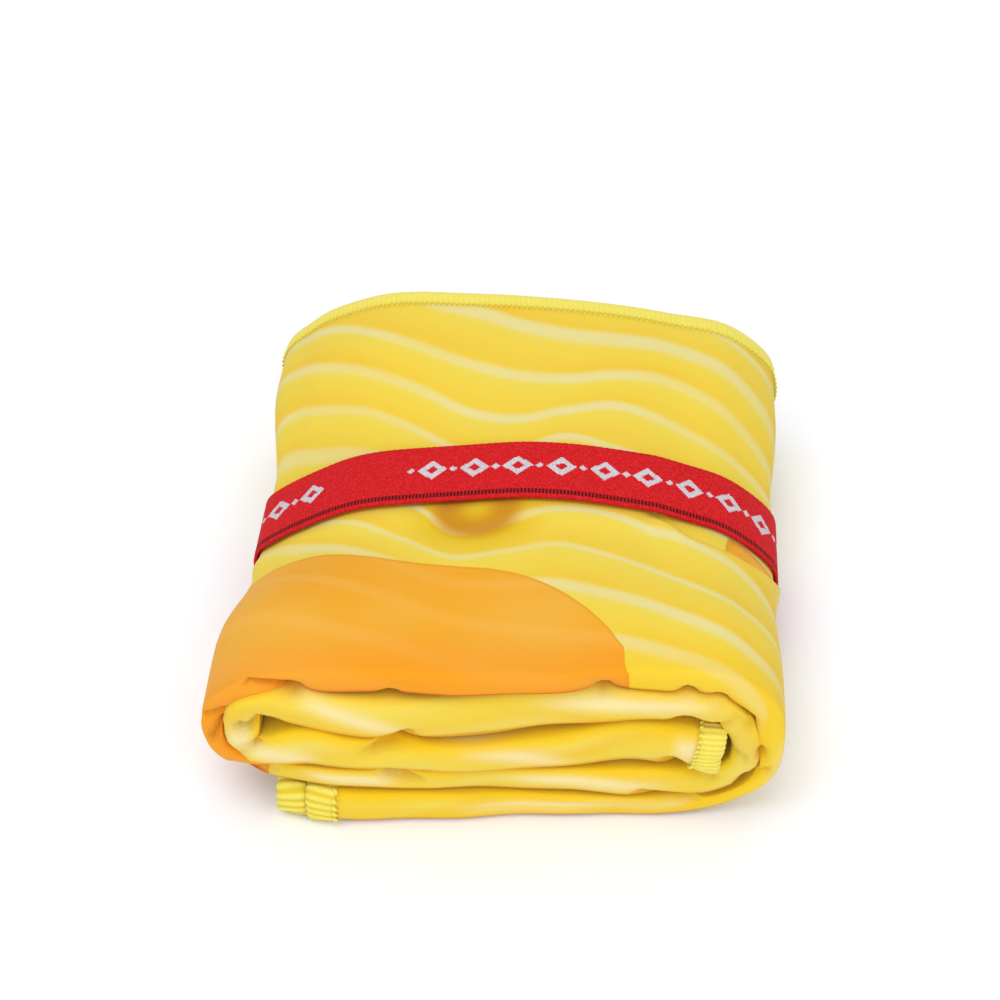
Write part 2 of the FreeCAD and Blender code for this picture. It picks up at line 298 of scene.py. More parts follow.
def sheet_rows():
    """Rows across the cut sheet, from the first long edge to the second.

    Each row has a ply (0 the outer fold, 1 the nested one), a side from 1 (outer) to -1
    (inner), how deep in the fold it lies, and its place from the fold (0) to the back (1).
    """
    rows = []
    before = np.concatenate([np.linspace(0.0, 0.16, 13)[:-1], np.linspace(0.16, 0.34, 12)[:-1],
                             np.linspace(0.34, CREST_PLACE, 7)])
    after = CREST_PLACE + np.array([0.004, 0.009, 0.016, 0.025, 0.036, 0.05])
    outer_places = np.concatenate([before, after, np.linspace(after[-1], 0.62, 9)[1:-1],
                                   np.linspace(0.62, 1.0, 22)])
    for place in outer_places[::-1]:
        rows.append((0.0, 1.0, 0.0, place))
    for turn in np.linspace(math.pi / 2, -math.pi / 2, 25)[1:-1]:
        rows.append((0.0, math.sin(turn), math.cos(turn) ** FULLNESS, 0.0))
    for place in np.linspace(0.0, 1.0, 14) ** 1.4:
        rows.append((0.0, -1.0, 0.0, place))
    for turn in np.linspace(0.0, math.pi, 7)[1:-1]:
        rows.append(((1 - math.cos(turn)) / 2, -1.0, -math.sin(turn), 1.0))
    for place in np.linspace(1.0, 0.0, 11):
        rows.append((1.0, -1.0, 0.0, place))
    for turn in np.linspace(-math.pi / 2, math.pi / 2, 15)[1:-1]:
        rows.append((1.0, math.sin(turn), math.cos(turn) ** FULLNESS, 0.0))
    for place in np.linspace(0.0, 1.0, 14):
        rows.append((1.0, 1.0, 0.0, place))
    return np.array(rows)


def lip_waves(along, ply):
    """Slow in and out wander of the folded edge, as cloth that was folded by hand."""
    return (0.9 * np.sin(along / 23.0 + 0.4) + 0.6 * np.sin(along / 11.3 + 1.9)
            + 0.25 * np.sin(along / 4.7 + ply))


def folded_sheet():
    """Points of the whole sheet, rows x columns, how far along the strip each is, and its rows."""
    rows = sheet_rows()
    ply, side, deep, place = (rows[:, k][:, None] for k in range(4))
    columns = np.arange(END_STEP, ROUTE_LENGTH, COLUMN_STEP)[None, :]
    along = columns - END_STEP * ply
    middle, normal, thickness, stands_out = strip_at(np.broadcast_to(along, (len(rows), columns.shape[1])))
    half = thickness / 2 - 0.25
    snug = smooth(0.0, 0.6, place)
    # the nested fold draws back near the inner end
    tuck = NESTED_PLY + 1.6 * smooth(ROUTE_LENGTH - 34.0, ROUTE_LENGTH - 18.0, columns)
    nested = np.clip(half - tuck, 0.8, None) * (1 - snug) + 0.4 * half * snug
    offset = side * (half * (1 - ply) + nested * ply)
    offset = np.where((ply > 0) & (ply < 1), -(half * (1 - ply) + nested * ply), offset)
    fold_depth = FOLD_ROUND * (half * (1 - ply) + nested * ply)
    fold_front = FRONT_Y - stands_out + lip_waves(along, ply) + tuck * ply
    straight_front = fold_front + fold_depth
    back = BACK_Y - np.where(side > 0, 0.8, 3.0) - 0.5 * ply
    crest = pleat_line(across_top(along))
    to_crest = straight_front + (crest - straight_front) * place / CREST_PLACE
    past_crest = crest + (back - crest) * (place - CREST_PLACE) / (1.0 - CREST_PLACE)
    level = straight_front + (back - straight_front) * place
    y = np.where((ply < 0.5) & (side > 0.99), np.where(place < CREST_PLACE, to_crest, past_crest), level)
    y = y - fold_depth * np.clip(deep, 0.0, 1.0) - 2.0 * np.clip(deep, -1.0, 0.0)
    x = middle[..., 0] + normal[..., 0] * offset
    z = middle[..., 1] + normal[..., 1] * offset
    x, z = reshape_section(x, z, y)
    points = np.stack([x, y, z], axis=-1)
    return points, np.broadcast_to(along, y.shape), rows


def grid_normals(points):
    across = np.gradient(points, axis=0)
    along = np.gradient(points, axis=1)
    return unit(np.cross(along, across))


def outer_wrap_weight(along):
    """1 on the layers that the eye can follow from outside: bottom, top and their bends."""
    return 1.0 - smooth(INNER_BEND - 4.0, INNER_BEND + 4.0, along)


# Dents of the folded front, pushed back into it: X, Z, half length, half height, depth, tilt.
DENTS = [
    (-54.1, 50.4, 6.0, 3.0, 2.0, -0.1), (-54.1, 50.2, 2.2, 2.6, 3.4, 0.0), (-27.5, 50.2, 2.2, 2.0, 2.6, 0.0),
    (30.3, 51.0, 5.0, 3.2, 2.0, 0.0), (30.3, 51.4, 1.9, 2.4, 3.4, 0.0), (53.6, 50.4, 2.2, 2.4, 3.4, -0.2),
    (62.8, 47.6, 2.2, 2.4, 2.6, -0.3), (71.6, 38.4, 1.6, 2.2, 3.4, 0.0), (75.4, 25.6, 1.5, 2.2, 4.6, 0.0),
    (-25.0, 31.4, 7.0, 1.6, 2.0, 0.1), (53.5, 39.8, 3.0, 2.4, 4.0, 0.0), (51.0, 22.4, 4.0, 1.8, 2.0, -0.6),
    (-68.9, 35.6, 1.8, 1.5, 7.5, 0.0), (-25.6, 19.6, 3.4, 1.5, 2.4, -0.3), (5.0, 35.0, 20.0, 1.6, 0.8, 0.05),
]
# Creases pressed along lines of points X, Z: half width, depth and the points.
CREASES = [
    (1.4, 3.8, [(-68.5, 35.4), (-65.6, 36.6), (-64.0, 40.0)]),
    (1.3, 4.0, [(-64.6, 29.6), (-69.4, 26.4), (-72.6, 24.4)]),
    (1.3, 3.0, [(-81.5, 34.6), (-77.1, 37.1), (-74.0, 39.3)]),
    (1.2, 3.0, [(-75.2, 34.5), (-76.6, 30.6), (-78.9, 26.0)]),
    (1.3, 2.8, [(-73.0, 14.6), (-66.5, 14.4), (-62.8, 16.2)]),
    (1.4, 3.6, [(-66.0, 51.6), (-60.0, 51.8), (-54.4, 50.8)]),
    (2.0, 4.2, [(-23.0, 35.6), (-28.5, 32.4), (-33.4, 28.8)]),
    (1.5, 3.4, [(-30.0, 19.6), (-25.8, 18.0), (-21.0, 16.4)]),
    (1.5, 3.4, [(50.6, 24.6), (55.6, 20.4), (62.0, 15.6)]),
    (1.4, 2.6, [(42.0, 11.0), (49.8, 8.6), (57.6, 6.6)]),
    (1.3, 3.0, [(70.6, 15.2), (74.6, 16.8), (78.0, 18.6)]),
    (1.3, 2.8, [(64.8, 27.0), (68.2, 25.4), (71.0, 23.6)]),
    (1.2, 2.4, [(62.6, 38.6), (65.6, 39.6), (68.0, 41.6)]),
]


def crease_depth(x, z, half_width, depth, path):
    """How deep a crease along a line of points is pressed in at x, z."""
    pressed = np.zeros_like(x)
    for start, end in zip(path[:-1], path[1:]):
        run_x, run_z = end[0] - start[0], end[1] - start[1]
        part = ((x - start[0]) * run_x + (z - start[1]) * run_z) / (run_x**2 + run_z**2)
        part = np.clip(part, 0.0, 1.0)
        away = np.hypot(x - start[0] - part * run_x, z - start[1] - part * run_z)
        pressed = np.maximum(pressed, depth * np.exp(-((away / half_width) ** 1.4)))
    return pressed


def press_dents(points):
    """Pushes hand-made dents, nips and creases into the folded front, all plies together."""
    x, y, z = (points[..., k] for k in range(3))
    behind_fold = y - y.min(axis=0)
    near_front = 1.0 - smooth(4.0, 12.0, behind_fold)
    pushed = np.zeros_like(y)
    for centre_x, centre_z, half_length, half_height, depth, tilt in DENTS:
        over, up = x - centre_x, z - centre_z - tilt * (x - centre_x)
        pushed = pushed + depth * np.exp(-((over / half_length) ** 2) - (up / half_height) ** 2)
    for half_width, depth, path in CREASES:
        pushed = pushed + crease_depth(x, z, half_width, depth, path)
    pushed = pushed * near_front
    return np.stack([x, y + pushed, z], axis=-1), pushed


def hand_made_folds(points, along, rows):
    """Creases, swells and the pleat beside the band, pressed into the outer ply."""
    x, y = points[..., 0], points[..., 1]
    outer = outer_wrap_weight(along) * (rows[:, 0][:, None] < 0.5) * (rows[:, 1][:, None] > -0.5)
    lift = 0.45 * np.sin(x / 13.0 + y / 21.0) * np.sin(y / 17.0 - x / 31.0 + 0.7) * outer
    # the free cloth swells just past the band's edges
    edge = BAND_WIDTH / 2
    front_swell = 1.3 * bell(y, BAND_Y - edge - 5.5, 4.0) * outer
    lift = lift + front_swell + 0.5 * bell(y, BAND_Y + edge + 5.0, 4.0) * outer
    # the pleat on the right: the front cloth overlaps the cloth that the band holds down
    across = across_top(along)
    past_crest = y - pleat_line(across)
    height = PLEAT_HEIGHT * smooth(40.0, 49.0, across) * (1.0 - 0.8 * smooth(70.0, 84.0, across))
    height = height * (1.0 - smooth(92.0, 106.0, across)) * outer
    rise = np.where(past_crest < 0.1, bell(past_crest, 0.0, 13.0), 1.0 - smooth(0.0, 1.2, past_crest))
    dip = (1.6 * bell(past_crest, 2.6, 2.2) * bell(across, 45.0, 4.5)
           + bell(past_crest, 3.0, 2.4) * bell(across, 52.0, 6.0))
    hole = 4.0 * bell(past_crest, 3.0, 2.0) * bell(across, 48.5, 3.2) * outer
    no_swell = hole + front_swell * (past_crest > 0.0) * (height > 0.3)
    lift = lift + height * (rise - 0.45 * dip) - no_swell
    return points + grid_normals(points) * lift[..., None]


# Crests of the printed sand ripples: half width, then Y at each of these places across the
# top, which count from the middle of the package along the strip, to the right.
CREST_PLACES = np.array([-90.0, -75.0, -60.0, -45.0, -30.0, -15.0, 0.0, 15.0, 30.0, 45.0, 60.0, 75.0, 90.0])
CRESTS = [
    (1.8, (112, 112, 108, 104, 99, 95, 90, 86, 83, 81, 77, 71, 62)),
    (4.4, (96, 97, 94, 88, 79, 74, 68, 65, 65, 65, 60, 51, 40)),
    (2.6, (76, 75, 70, 61, 54, 48, 44, 44, 48, 49, 43, 34, 26)),
    (2.4, (59, 58, 52, 45, 38, 29, 25, 30, 35, 32, 26, 21, 14)),
    (1.7, (40, 42, 38, 32, 23, 12, 11, 18, 15, 12, 9, 4, -4)),
    (4.0, (24, 27, 22, 15, 6, -2, -3, 3, 1, -4, -9, -14, -20)),
    (2.1, (9, 10, 6, -1, -9, -25, -21, -15, -15, -21, -28, -36, -44)),
    (1.4, (-5, -5, -9, -17, -27, -37, -35, -30, -33, -39, -47, -54, -61)),
    (2.9, (-15, -14, -21, -30, -40, -49, -50, -48, -51, -56, -63, -70, -76)),
    (3.1, (-36, -35, -42, -50, -57, -64, -67, -68, -69, -72, -77, -83, -89)),
    (3.4, (-60, -60, -64, -70, -74, -80, -84, -86, -88, -92, -97, -103, -108)),
]
# The orange area's border, place across and Y.
ORANGE_EDGE = [(-100.0, -42.0), (-86.0, -33.0), (-74.0, -28.0), (-60.0, -28.0), (-43.0, -34.0),
               (-27.0, -39.0), (-12.0, -42.0), (-1.0, -43.5), (10.0, -47.0), (21.0, -54.0), (28.0, -61.0),
               (33.5, -69.0), (36.5, -77.0), (37.5, -86.0)]
CREST_COUNT = 24            # crests of one ply, the hidden ones included
SPOT = np.array([-9.0, -15.0])  # the brown ring's middle, place across and Y


def crest_lines(across):
    """Half widths and Y of every crest, with more of them past the front for the inner plies."""
    inside = np.clip(across, CREST_PLACES[0], CREST_PLACES[-1])
    lines = [hermite(CREST_PLACES, np.array(ys, float), inside) for _, ys in CRESTS]
    widths = [width for width, _ in CRESTS]
    past = np.abs(across - inside)
    run_out = 18.0 * (1.0 - np.exp(-past / 18.0)) * np.sign(across - inside)
    drift = -0.45 * run_out + 5.0 * (1.0 - np.cos(past / 15.0))
    lines = [line + drift for line in lines]
    while len(lines) < CREST_COUNT:
        lines.append(lines[-1] - 17.0 - 3.0 * math.sin(2.3 * len(lines)))
        widths.append(4.2 + 1.0 * math.sin(1.7 * len(lines)))
    for _ in range(3):
        lines.insert(0, lines[0] + 18.0)
        widths.insert(0, 3.0)
    return np.array(widths), np.array(lines)


def ripple_fields(across, flat_y, plies):
    """A phase that is a whole number on every crest, and the crest's half width in that phase."""
    phase = np.empty_like(flat_y)
    breadth = np.empty_like(flat_y)
    for column in range(flat_y.shape[1]):
        for chosen in plies:
            widths, lines = crest_lines(across[chosen[0], column])
            order = np.argsort(-lines)
            number = np.interp(-flat_y[chosen, column], -lines[order], np.arange(len(lines)))
            phase[chosen, column] = number
            spacing = np.interp(number, np.arange(len(lines) - 1) + 0.5, -np.diff(lines[order]))
            breadth[chosen, column] = np.interp(number, np.arange(len(lines)), widths) / spacing
    return phase, breadth


def orange_field(across, flat_y):
    """How far inside the orange area, or the small one in the pleat's opening, a point is."""
    edge_across, edge_y = np.array(ORANGE_EDGE).T
    edge = hermite(edge_across, edge_y, np.clip(across, edge_across[0], edge_across[-1]))
    orange = edge - flat_y
    orange = np.minimum(orange, edge_across[-1] - across)
    orange = np.minimum(orange, across - across_top(INNER_BEND + 3.0))
    patch = np.minimum(across - 63.0, flat_y - pleat_line(across) - 0.6)
    patch = np.minimum(patch, -11.0 - 0.25 * np.clip(across - 68.0, 0.0, None) - flat_y)
    return np.maximum(orange, np.minimum(patch, 112.0 - across))


def crest_strength(along, flat_y):
    """The crests are faint on the folded front of the bottom and of the inner layers."""
    not_outside = 1.0 - smooth(BOTTOM_END, RIGHT_BEND, along) + smooth(LEFT_SIDE, INNER_BEND, along)
    return 1.0 - 0.85 * (1.0 - smooth(FRONT_Y + 2.0, FRONT_Y + 8.0, flat_y)) * not_outside


# ---- materials
class Nodes:
    """A node material, with short ways to add the nodes that the cloths need."""

    def __init__(self, name):
        self.material = bpy.data.materials.new(name)
        self.material.use_nodes = True
        self.nodes = self.material.node_tree.nodes
        self.links = self.material.node_tree.links
        self.shader = self.nodes["Principled BSDF"]

    def value(self, source, socket):
        if hasattr(source, "is_output"):
            self.links.new(source, socket)
        else:
            socket.default_value = source

    def math(self, operation, first, second=0.0, third=0.0, clamp=False):
        node = self.nodes.new("ShaderNodeMath")
        node.operation = operation
        node.use_clamp = clamp
        for socket, source in zip(node.inputs, (first, second, third)):
            self.value(source, socket)
        return node.outputs[0]

    def times(self, first, second):
        return self.math("MULTIPLY", first, second)

    def inverse(self, value):
        return self.math("SUBTRACT", 1.0, value)

    def attribute(self, name):
        node = self.nodes.new("ShaderNodeAttribute")
        node.attribute_name = name
        return node.outputs["Fac"]

    def position(self):
        return self.nodes.new("ShaderNodeTexCoord").outputs["Object"]

    def noise(self, scale, detail=3.0, vector=None, roughness=0.5):
        node = self.nodes.new("ShaderNodeTexNoise")
        node.inputs["Scale"].default_value = scale
        node.inputs["Detail"].default_value = detail
        node.inputs["Roughness"].default_value = roughness
        self.links.new(vector or self.position(), node.inputs["Vector"])
        return node.outputs["Fac"]

    def step(self, value, low, high):
        node = self.nodes.new("ShaderNodeMapRange")
        node.interpolation_type = "SMOOTHSTEP"
        self.value(value, node.inputs["Value"])
        node.inputs["From Min"].default_value = low
        node.inputs["From Max"].default_value = high
        return node.outputs["Result"]

    def mix(self, factor, first, second):
        node = self.nodes.new("ShaderNodeMix")
        node.data_type = "RGBA"
        self.value(factor, node.inputs[0])
        self.value(first, node.inputs[6])
        self.value(second, node.inputs[7])
        return node.outputs[2]

    def bump(self, height, strength, distance, normal=None):
        node = self.nodes.new("ShaderNodeBump")
        node.inputs["Strength"].default_value = strength
        node.inputs["Distance"].default_value = distance
        self.links.new(height, node.inputs["Height"])
        if normal is not None:
            self.links.new(normal, node.inputs["Normal"])
        return node.outputs["Normal"]

    def finish(self, color, normal, roughness, sheen):
        self.links.new(color, self.shader.inputs["Base Color"])
        self.links.new(normal, self.shader.inputs["Normal"])
        self.value(roughness, self.shader.inputs["Roughness"])
        self.shader.inputs["Sheen Weight"].default_value = sheen
        self.shader.inputs["Sheen Roughness"].default_value = 0.5
        self.shader.inputs["Specular IOR Level"].default_value = 0.12
        return self.material


LIGHT_ON_TOP = 1.24         # what the studio light gives a level surface


def dye(red, green, blue):
    """Linear colour that looks like these 0-255 values on the lit top of the package."""
    parts = [((c / 255 + 0.055) / 1.055) ** 2.4 / LIGHT_ON_TOP for c in (red, green, blue)]
    return (*parts, 1.0)


LEMON = dye(241, 218, 84)
YELLOW = dye(244, 213, 72)
GOLD = dye(243, 203, 60)
CREAM = dye(236, 223, 150)
PALE_CREAM = dye(252, 238, 190)
ORANGE = dye(246, 169, 34)
PALE_ORANGE = dye(244, 178, 60)
ORANGE_CREST = dye(248, 184, 78)
ORANGE_RIM = dye(233, 158, 40)
AMBER = dye(205, 134, 16)
# painted shade and bounce light near where the folded lips touch
FOLD_SHADE_YELLOW = dye(251, 206, 10)
FOLD_SHADE_ORANGE = dye(252, 146, 0)
# painted shade in creases, dents and under the lips
CREASE_SHADE_YELLOW = dye(230, 154, 4)
CREASE_SHADE_ORANGE = dye(190, 48, 2)
SADDLE = dye(232, 192, 20)
THREAD_YELLOW = dye(252, 238, 110)
THREAD_LEMON = dye(244, 230, 96)
# painted shade between the overlock's stitches
THREAD_SHADE = dye(234, 204, 40)
RED = dye(208, 3, 17)
BRIGHT_RED = dye(242, 48, 52)
# painted shade in the holes of the band's ribbed line
LOOP_SHADE_RED = dye(66, 2, 8)
WEAVE_WHITE = dye(236, 226, 232)
WEAVE_GREY = dye(205, 196, 206)


def microfibre_material():
    """Sand ripples and an orange area printed on brushed microfibre."""
    n = Nodes("printed_microfibre")
    phase = n.attribute("ripple_phase")
    part = n.math("FRACT", phase)
    away = n.math("ABSOLUTE", n.math("SUBTRACT", n.math("FRACT", n.math("ADD", phase, 0.5)), 0.5))
    share = n.math("DIVIDE", away, n.attribute("crest_breadth"))
    crest = n.inverse(n.step(share, 0.35, 1.25))
    fade = n.step(n.noise(16.0, 1.0), 0.30, 0.58)
    crest = n.times(crest, n.math("MULTIPLY_ADD", fade, 0.4, 0.6))
    crest = n.times(crest, n.attribute("crest_strength"))
    lemon = n.inverse(n.step(part, 0.12, 0.5))
    gold = n.times(n.step(part, 0.45, 0.8), n.inverse(n.step(part, 0.86, 1.0)))
    cloud = n.step(n.noise(22.0, 2.0), 0.35, 0.7)
    color = n.mix(lemon, YELLOW, LEMON)
    color = n.mix(n.times(gold, n.math("MULTIPLY_ADD", cloud, 0.6, 0.4)), color, GOLD)
    spot = n.attribute("spot_distance")
    color = n.mix(n.inverse(n.step(spot, 11.0, 26.0)), color, SADDLE)
    color = n.mix(crest, color, CREAM)
    color = n.mix(n.times(n.attribute("pale_patch"), 0.7), color, PALE_CREAM)
    ring = n.times(n.step(spot, 0.0, 8.0), n.inverse(n.step(spot, 9.5, 16.0)))
    color = n.mix(n.times(ring, 0.92), color, AMBER)
    orange_tone = n.mix(n.times(crest, 0.5), n.mix(cloud, ORANGE, PALE_ORANGE), ORANGE_CREST)
    inside = n.attribute("orange_distance")
    orange_tone = n.mix(n.inverse(n.step(inside, 0.2, 1.6)), orange_tone, ORANGE_RIM)
    color = n.mix(n.step(inside, -0.3, 0.3), color, orange_tone)
    # painted shade and bounce light: the colour turns deeper and more saturated near where the folded lips
    # touch the layers under them, and low on the right of the front
    deep = n.mix(n.step(inside, -0.3, 0.3), FOLD_SHADE_YELLOW, FOLD_SHADE_ORANGE)
    color = n.mix(n.times(n.attribute("fold_depth"), 0.85), color, deep)
    # painted shade: darker, redder colour in creases, dents and under the lips' lower sides
    pinched = n.mix(n.step(inside, -0.3, 0.3), CREASE_SHADE_YELLOW, CREASE_SHADE_ORANGE)
    color = n.mix(n.times(n.attribute("crease_shade_mask"), 0.75), color, pinched)
    fuzz = n.noise(2600.0, 4.0, roughness=0.7)
    pile = n.noise(420.0, 3.0)
    color = n.mix(n.times(n.step(fuzz, 0.3, 0.8), 0.14), color, GOLD)
    normal = n.bump(pile, 0.18, 0.0005)
    normal = n.bump(fuzz, 0.42, 0.0002, normal)
    rough = n.math("MULTIPLY_ADD", fuzz, 0.15, 0.78)
    return n.finish(color, normal, rough, 0.06)


def thread_material(name, base, light, stitch_shade):
    """Spun polyester thread: fine twist lines, and painted shade between the stitches."""
    n = Nodes(name)
    strands = n.noise(1600.0, 3.0)
    color = n.mix(n.step(strands, 0.35, 0.7), base, light)
    # painted shade where the thread's ribs dip low
    color = n.mix(n.step(n.attribute("stitch_rise"), 0.75, 0.1), color, stitch_shade)
    normal = n.bump(strands, 0.35, 0.0002)
    return n.finish(color, normal, n.math("MULTIPLY_ADD", strands, 0.2, 0.55), 0.15)


# The band's weave, in millimetres along and across it.
THREAD_PITCH = 0.55
MOTIF_REPEAT = 13.0         # from one woven diamond to the next
MOTIF_CUT = 1.4             # the row starts and stops this far before a dot's middle
MOTIF_ACROSS = 1.2          # where the row of diamonds runs
DIAMOND_LENGTH, DIAMOND_WIDTH = 4.6, 4.2  # half sizes
DIAMOND_OPEN = 0.42         # the share of a diamond that is left red
DOT_SIZE = 1.3
LADDER_PITCH = 1.05         # from rung to rung of the dark line
LADDER_LOW, LADDER_HIGH = -11.1, -8.8
LADDER_SOFT = 0.3


def woven_motif(n, along, across):
    """1 on the white diamonds and dots, 0 on the red; colour changes from thread to thread."""
    step_along = n.times(n.math("FLOOR", n.math("DIVIDE", along, THREAD_PITCH)), THREAD_PITCH)
    step_across = n.times(n.math("FLOOR", n.math("DIVIDE", across, THREAD_PITCH)), THREAD_PITCH)
    share = n.math("FRACT", n.math("DIVIDE", step_along, MOTIF_REPEAT))
    place = n.math("SUBTRACT", n.times(share, MOTIF_REPEAT), MOTIF_REPEAT / 2)
    beside = n.math("ABSOLUTE", place)
    above = n.math("ABSOLUTE", n.math("SUBTRACT", step_across, MOTIF_ACROSS))
    reach = n.math("ADD", n.math("DIVIDE", beside, DIAMOND_LENGTH), n.math("DIVIDE", above, DIAMOND_WIDTH))
    diamond = n.times(n.math("LESS_THAN", reach, 1.0), n.math("GREATER_THAN", reach, DIAMOND_OPEN))
    from_dot = n.math("SUBTRACT", MOTIF_REPEAT / 2, beside)
    dot_reach = n.math("ADD", n.math("DIVIDE", from_dot, DOT_SIZE), n.math("DIVIDE", above, DOT_SIZE))
    motif = n.math("MAXIMUM", diamond, n.math("LESS_THAN", dot_reach, 1.0))
    return n.times(motif, n.attribute("band_motif"))


def woven_band_material():
    """Red woven elastic: fine ribs, one ribbed line painted dark as shade in its holes, and a row of white
    woven diamonds.
    """
    n = Nodes("woven_elastic")
    along = n.attribute("band_along")
    across = n.attribute("band_across")
    motif = woven_motif(n, along, across)
    rib_along = n.math("SINE", n.times(along, TURN / THREAD_PITCH))
    rib_across = n.math("SINE", n.times(across, TURN / THREAD_PITCH))
    weave = n.times(rib_along, rib_across)
    grain = n.noise(1500.0, 3.0)
    lightness = n.times(n.step(grain, 0.35, 0.7), 0.75)
    lightness = n.math("MULTIPLY_ADD", weave, 0.4, lightness, clamp=True)
    color = n.mix(lightness, RED, BRIGHT_RED)
    # painted shade: the ribbed line is painted dark red, darkest in the holes between its loops
    above = n.step(across, LADDER_LOW, LADDER_LOW + LADDER_SOFT)
    below = n.inverse(n.step(across, LADDER_HIGH - LADDER_SOFT, LADDER_HIGH))
    line = n.times(above, below)
    ladder = n.step(n.math("SINE", n.times(along, TURN / LADDER_PITCH)), -0.35, 0.45)
    dark = n.times(line, n.math("MULTIPLY_ADD", ladder, 0.66, 0.32))
    color = n.mix(dark, color, LOOP_SHADE_RED)
    color = n.mix(motif, color, n.mix(n.step(grain, 0.3, 0.75), WEAVE_GREY, WEAVE_WHITE))
    height = n.math("ADD", grain, n.times(motif, 0.8))
    height = n.math("ADD", n.times(weave, 0.35), height)
    height = n.math("SUBTRACT", height, n.times(n.times(line, ladder), 0.9))
    normal = n.bump(height, 0.55, 0.0003)
    return n.finish(color, normal, n.math("MULTIPLY_ADD", grain, 0.2, 0.65), 0.0)


# ---- the towel
# X, Z, half length, half height and tilt of each pale area on the folded front.
PALE_PATCHES = [
    (-38.0, 43.0, 15.0, 3.2, -0.42), (38.0, 46.6, 22.0, 2.6, 0.02), (-59.0, 26.5, 10.0, 3.6, -0.15),
    (4.0, 28.4, 17.0, 3.0, -0.28), (27.0, 15.6, 20.0, 2.6, -0.10), (-40.0, 17.6, 12.0, 2.4, -0.10),
    (13.0, 5.4, 20.0, 2.4, 0.0), (55.0, 31.0, 3.8, 5.0, 0.0), (-70.0, 30.0, 4.0, 5.0, 0.0),
]


def sheet_y(points, rows):
    """The cut sheet's own Y: as it lies on the outer ply, then on past the fold."""
    steps = np.linalg.norm(np.diff(points, axis=0), axis=-1)
    travelled = np.vstack([np.zeros((1, points.shape[1])), np.cumsum(steps, axis=0)])
    on_outer_ply = (rows[:, 0] < 0.5) & (rows[:, 1] > 0.99) & (rows[:, 3] > 0)
    last_flat = int(np.max(np.nonzero(on_outer_ply)[0])) + 1
    flat = points[last_flat, :, 1] - (travelled - travelled[last_flat])
    flat[:last_flat] = points[:last_flat, :, 1]
    return flat


def painted_fold_shade(along, rows):
    """Painted shade and bounce light: how close a point of a folded lip is to the layer that it is pressed
    on, and the fronts of the outer layers' folds.
    """
    side, place = rows[:, 1][:, None], rows[:, 3][:, None]
    inner_layers = smooth(INNER_BEND - 6.0, INNER_BEND + 6.0, along)
    outer_side = 0.55 * smooth(0.45, 1.0, side) * inner_layers
    start = 0.25 - 0.95 * smooth(RIGHT_BEND, RIGHT_SIDE, along) * (1.0 - inner_layers)
    lip = (smooth(start, 0.95, -side) + outer_side) * (1.0 - smooth(0.0, 0.03, place))
    face = 0.58 * (1.0 - smooth(0.0, 0.10, place)) * (side > -0.2) * (1.0 - inner_layers)
    return np.maximum(lip, face)


def low_right_shade(points):
    """Painted shade: the deeper, more saturated yellow low on the right of the front."""
    x, y, z = (points[..., k] for k in range(3))
    there = bell(x, 50.0, 15.0) * bell(z - 0.12 * (x - 50.0), 8.0, 3.2)
    return 0.9 * there * (1.0 - smooth(FRONT_Y + 6.0, FRONT_Y + 16.0, y))


def crease_shade(along, rows, pushed):
    """Painted shade: 1 where the cloth is pinched, in creases and dents, and under the lips' lower sides."""
    side, place = rows[:, 1][:, None], rows[:, 3][:, None]
    _, normal, _, _ = strip_at(along)
    touching = smooth(0.5, 0.85, -side * normal[..., 1]) * (1.0 - smooth(0.0, 0.03, place))
    return np.maximum(touching, 0.7 * smooth(1.6, 4.6, pushed))


def pale_patches(points):
    """Soft cream areas of the print where it turns over the front folds."""
    x, y, z = (points[..., k] for k in range(3))
    pale = np.zeros_like(x)
    for centre_x, centre_z, half_length, half_height, tilt in PALE_PATCHES:
        over, up = x - centre_x, z - centre_z - tilt * (x - centre_x)
        pale = np.maximum(pale, np.exp(-((over / half_length) ** 4) - (up / half_height) ** 2))
    return pale * (1.0 - smooth(FRONT_Y + 6.0, FRONT_Y + 16.0, y))


def floor_level(points):
    """How high the cloth lies at least: its overlock and the band are under it."""
    y = points[..., 1]
    from_end = COLUMN_STEP * np.arange(points.shape[1])[None, :]
    at_hem = np.maximum(smooth(BACK_Y - 16.0, BACK_Y - 8.0, y), 1.0 - smooth(8.0, 16.0, from_end))
    at_band = 1.0 - smooth(BAND_WIDTH / 2, BAND_WIDTH / 2 + 8.0, np.abs(y - BAND_Y))
    return RESTING + HEM_LIFT * at_hem + BAND_LIFT * at_band


